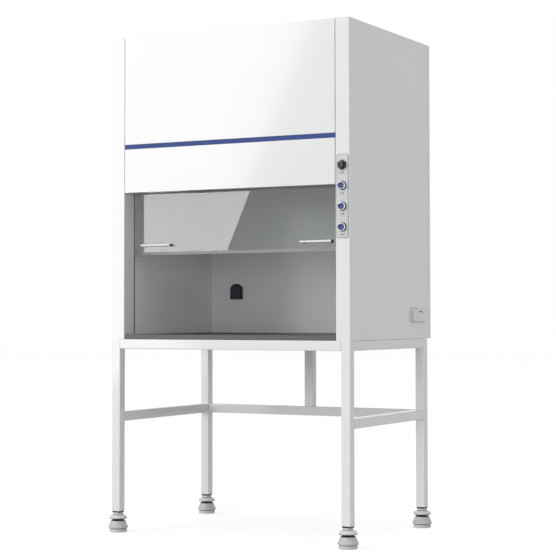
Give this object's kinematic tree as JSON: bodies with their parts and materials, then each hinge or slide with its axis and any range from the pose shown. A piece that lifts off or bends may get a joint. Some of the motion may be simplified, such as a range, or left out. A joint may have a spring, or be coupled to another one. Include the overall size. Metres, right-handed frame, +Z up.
{
  "type": "ducted fume hood",
  "caption": "Fume hood on a tubular stand: sheet-metal cabinet, counterbalanced glass sash, exhaust fan and collar, controls on the right post, levelling feet.",
  "frame": {"origin": "on the floor, under the middle of the object's box", "axes": "+X to the user's right, +Y from the front to the back, +Z up"},
  "size_m": [1.143, 0.8264, 2.1135],
  "materials": {
    "white_paint": "satin powder coat",
    "blue_stripe": "gloss",
    "liner": "semi-gloss",
    "worktop": "matt",
    "sash_glass": "clear",
    "aluminium": "satin anodised",
    "black_plastic": "satin",
    "pale_plastic": "satin",
    "grey_plastic": "satin",
    "steel": "zinc plated",
    "motor_casting": "cast",
    "plate_steel": "satin",
    "switch_chrome": "polished",
    "navy_plastic": "satin"
  },
  "bodies": {
    "cabinet": {"leg_front_left": "white_paint", "leg_front_right": "white_paint", "leg_rear_left": "white_paint", "leg_rear_right": "white_paint", "front_apron": "white_paint", "rear_apron": "white_paint", "left_apron": "white_paint", "right_apron": "white_paint", "left_lower_rail": "white_paint", "right_lower_rail": "white_paint", "rear_lower_rail": "white_paint", "rear_post": "white_paint", "left_side_panel": "white_paint", "right_side_panel": "white_paint", "roof_panel": "white_paint", "rear_panel": "white_paint", "upper_front_panel": "white_paint", "lower_fascia": "white_paint", "stripe_insert": "blue_stripe", "left_liner": "liner", "right_liner": "liner", "rear_liner": "liner", "ceiling_liner": "liner", "worktop": "worktop", "leg_inserts": "black_plastic", "left_sash_track": "black_plastic", "right_sash_track": "black_plastic", "cable_gland": "black_plastic", "foot_collars": "pale_plastic", "lamp": "pale_plastic", "service_outlet": "grey_plastic", "exhaust_collar": "grey_plastic", "fan_scroll": "grey_plastic", "pulley_brackets": "steel", "sash_cables": "steel", "fan_motor": "motor_casting", "control_plate": "plate_steel", "switch_bodies": "switch_chrome", "socket_box": "navy_plastic"},
    "sash": {"sash_glass": "sash_glass", "sash_bottom_rail": "aluminium", "left_handle": "aluminium", "right_handle": "aluminium", "handle_standoffs": "black_plastic", "sash_lift_brackets": "steel"},
    "left_weight": {"left_counterweight": "steel"},
    "right_weight": {"right_counterweight": "steel"},
    "left_pulley": {"left_pulley": "aluminium"},
    "right_pulley": {"right_pulley": "aluminium"},
    "impeller": {"fan_impeller": "steel"},
    "knob": {"rotary_knob": "black_plastic"},
    "button_upper": {"upper_button": "navy_plastic"},
    "button_middle": {"middle_button": "navy_plastic"},
    "button_lower": {"lower_button": "navy_plastic"},
    "socket_flap": {"socket_flap": "navy_plastic"},
    "service_lid": {"service_lid": "pale_plastic"},
    "foot_front_left": {"foot_front_left": "grey_plastic"},
    "foot_front_right": {"foot_front_right": "grey_plastic"},
    "foot_rear_left": {"foot_rear_left": "grey_plastic"},
    "foot_rear_right": {"foot_rear_right": "grey_plastic"}
  },
  "joints": [
    {"name": "sash_slide", "type": "slide", "parent": "cabinet", "child": "sash", "axis": [0, 0, 1], "range_m": [-0.329, 0.249], "deforming": ["sash_cables"]},
    {"name": "left_weight_slide", "type": "slide", "parent": "cabinet", "child": "left_weight", "axis": [0, 0, 1], "range_m": [-0.25, 0.33]},
    {"name": "left_pulley_turn", "type": "hinge", "parent": "cabinet", "child": "left_pulley", "pos_m": [-0.502, -0.30175, 2.026], "axis": [0, 1, 0], "range_deg": [-650.5, 858.8]},
    {"name": "right_weight_slide", "type": "slide", "parent": "cabinet", "child": "right_weight", "axis": [0, 0, 1], "range_m": [-0.25, 0.33]},
    {"name": "right_pulley_turn", "type": "hinge", "parent": "cabinet", "child": "right_pulley", "pos_m": [0.502, -0.30175, 2.026], "axis": [0, 1, 0], "range_deg": [-858.8, 650.5]},
    {"name": "impeller_spin", "type": "hinge", "parent": "cabinet", "child": "impeller", "pos_m": [-0.13789, 0.03825, 1.83], "axis": [0, 1, 0], "continuous": true},
    {"name": "knob_turn", "type": "hinge", "parent": "cabinet", "child": "knob", "pos_m": [0.5198, -0.40375, 1.483], "axis": [0, -1, 0], "range_deg": [0, 270]},
    {"name": "upper_button_press", "type": "slide", "parent": "cabinet", "child": "button_upper", "axis": [0, 1, 0], "range_m": [0, 0.004], "stiffness_N_per_m": 600, "springref_m": -0.002},
    {"name": "middle_button_press", "type": "slide", "parent": "cabinet", "child": "button_middle", "axis": [0, 1, 0], "range_m": [0, 0.004], "stiffness_N_per_m": 600, "springref_m": -0.002},
    {"name": "lower_button_press", "type": "slide", "parent": "cabinet", "child": "button_lower", "axis": [0, 1, 0], "range_m": [0, 0.004], "stiffness_N_per_m": 600, "springref_m": -0.002},
    {"name": "socket_flap_turn", "type": "hinge", "parent": "cabinet", "child": "socket_flap", "pos_m": [-0.358, 0.31965, 1.033], "axis": [-1, 0, 0], "range_deg": [0, 95], "stiffness_Nm_per_rad": 0.02, "springref_deg": -17.19},
    {"name": "service_lid_turn", "type": "hinge", "parent": "cabinet", "child": "service_lid", "pos_m": [0.5576, 0.26975, 0.9287], "axis": [0, -1, 0], "range_deg": [0, 95], "stiffness_Nm_per_rad": 0.05, "springref_deg": -17.19},
    {"name": "foot_front_left_level", "type": "slide", "parent": "cabinet", "child": "foot_front_left", "axis": [0, 0, 1], "range_m": [-0.02, 0.004]},
    {"name": "foot_front_right_level", "type": "slide", "parent": "cabinet", "child": "foot_front_right", "axis": [0, 0, 1], "range_m": [-0.02, 0.004]},
    {"name": "foot_rear_left_level", "type": "slide", "parent": "cabinet", "child": "foot_rear_left", "axis": [0, 0, 1], "range_m": [-0.02, 0.004]},
    {"name": "foot_rear_right_level", "type": "slide", "parent": "cabinet", "child": "foot_rear_right", "axis": [0, 0, 1], "range_m": [-0.02, 0.004]}
  ],
  "couplings": [
    {"joint": "left_weight_slide", "follows": "sash_slide", "ratio": -1},
    {"joint": "left_pulley_turn", "follows": "sash_slide", "rad_per_m": -45.455},
    {"joint": "right_weight_slide", "follows": "sash_slide", "ratio": -1},
    {"joint": "right_pulley_turn", "follows": "sash_slide", "rad_per_m": 45.455}
  ]
}
